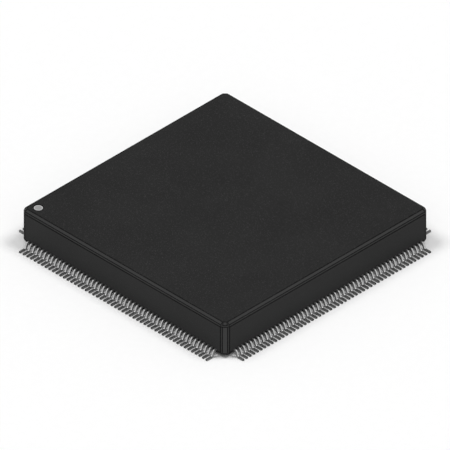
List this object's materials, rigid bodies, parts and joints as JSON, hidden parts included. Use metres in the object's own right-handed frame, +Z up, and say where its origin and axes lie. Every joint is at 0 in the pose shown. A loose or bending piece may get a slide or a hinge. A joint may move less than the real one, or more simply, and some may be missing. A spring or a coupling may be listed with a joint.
{
  "type": "quad flat pack chip",
  "caption": "Square surface-mount chip: a black moulded body with bevelled edges and a fine row of gull-wing leads out of each side, with a round grey mark at one corner.",
  "frame": {"origin": "centre of the seating plane, under the middle of the body, level with the feet", "axes": "+Z up, away from the circuit board; +X and +Y along the body's sides; the round mark is at the -X, -Y corner"},
  "size_m": [0.0306, 0.0306, 0.0041],
  "materials": {
    "mould_compound": "fine matt moulded surface",
    "mark_filling": "matt light grey",
    "plated_leads": "satin tin plating",
    "frame_copper": "rolled copper sheet, unplated, sealed in the moulding",
    "die_adhesive": "silver-filled adhesive, sealed in the moulding",
    "silicon": "polished silicon, sealed in the moulding"
  },
  "bodies": {
    "root": {"mould_body": "mould_compound", "pin_one_mark": "mark_filling", "lead_row_front": "plated_leads", "lead_row_right": "plated_leads", "lead_row_back": "plated_leads", "lead_row_left": "plated_leads", "die_paddle": "frame_copper", "die_attach": "die_adhesive", "die": "silicon"}
  },
  "joints": []
}
